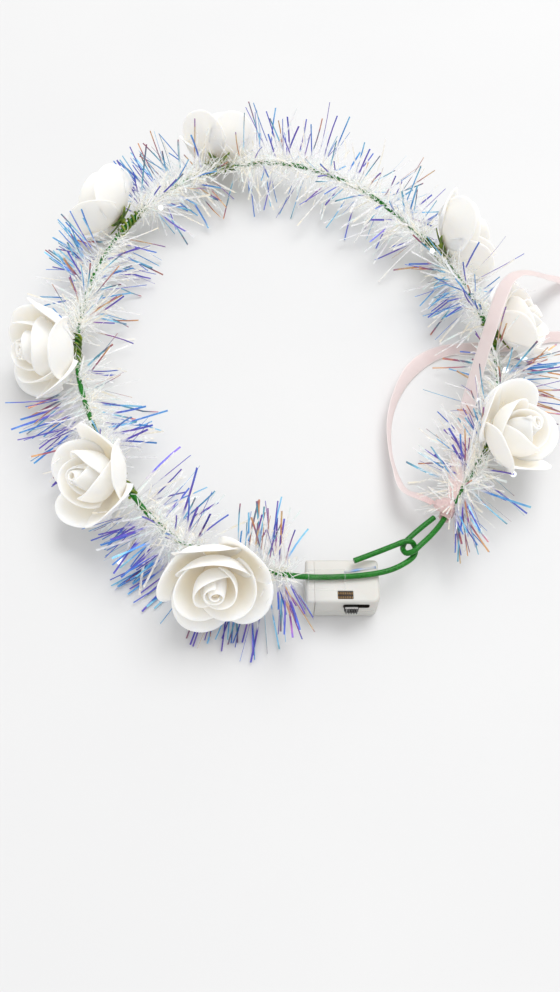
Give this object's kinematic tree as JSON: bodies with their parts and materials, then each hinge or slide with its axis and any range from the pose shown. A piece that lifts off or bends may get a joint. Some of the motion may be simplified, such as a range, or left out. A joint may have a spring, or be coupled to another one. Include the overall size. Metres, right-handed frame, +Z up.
{
  "type": "light-up flower crown",
  "caption": "Oval wire head crown with hooked ends, dressed with white foam roses, iridescent tinsel, light beads, a slide-switch battery case and a pink ribbon.",
  "frame": {"origin": "on the table under the middle of the crown without its loose ribbon tails", "axes": "+Z up, -Y towards the viewer and the battery case, +X to the viewer's right"},
  "size_m": [0.2377, 0.2605, 0.0418],
  "materials": {
    "green_plastic": "green plastic coated steel wire, glossy",
    "white_foam": "soft white foam, matt",
    "leaf_green": "yellow-green moulded plastic and paper tape",
    "iridescent_film": "thin iridescent film cut into strips",
    "clear_resin": "clear cast resin",
    "white_plastic": "off-white moulded plastic, satin",
    "black_plastic": "black moulded plastic",
    "brass": "brass strip, ribbed",
    "clear_film": "clear adhesive film",
    "pink_satin": "pale pink satin ribbon"
  },
  "bodies": {
    "crown": {"band_wire": "green_plastic", "rose_1": "white_foam", "rose_2": "white_foam", "rose_3": "white_foam", "rose_4": "white_foam", "rose_5": "white_foam", "rose_6": "white_foam", "rose_7": "white_foam", "rose_8": "white_foam", "calyx_1": "leaf_green", "calyx_2": "leaf_green", "calyx_3": "leaf_green", "calyx_4": "leaf_green", "calyx_5": "leaf_green", "calyx_6": "leaf_green", "calyx_7": "leaf_green", "calyx_8": "leaf_green", "tinsel_1": "iridescent_film", "tinsel_2": "iridescent_film", "tinsel_3": "iridescent_film", "tinsel_4": "iridescent_film", "tinsel_5": "iridescent_film", "tinsel_6": "iridescent_film", "tinsel_7": "iridescent_film", "tinsel_8": "iridescent_film", "tinsel_9": "iridescent_film", "led_1": "clear_resin", "led_2": "clear_resin", "led_3": "clear_resin", "led_4": "clear_resin", "led_5": "clear_resin", "led_6": "clear_resin", "led_7": "clear_resin", "led_8": "clear_resin", "battery_box": "white_plastic", "battery_cap": "white_plastic", "contact_plate": "brass", "switch_seat": "black_plastic", "clear_tape": "clear_film", "ribbon_knot": "pink_satin", "ribbon_tail_a": "pink_satin", "ribbon_tail_b": "pink_satin"},
    "switch": {"switch_knob": "white_plastic"}
  },
  "joints": [
    {"name": "switch_slide", "type": "slide", "parent": "crown", "child": "switch", "axis": [1, 0, 0], "range_m": [0, 0.0034]}
  ]
}
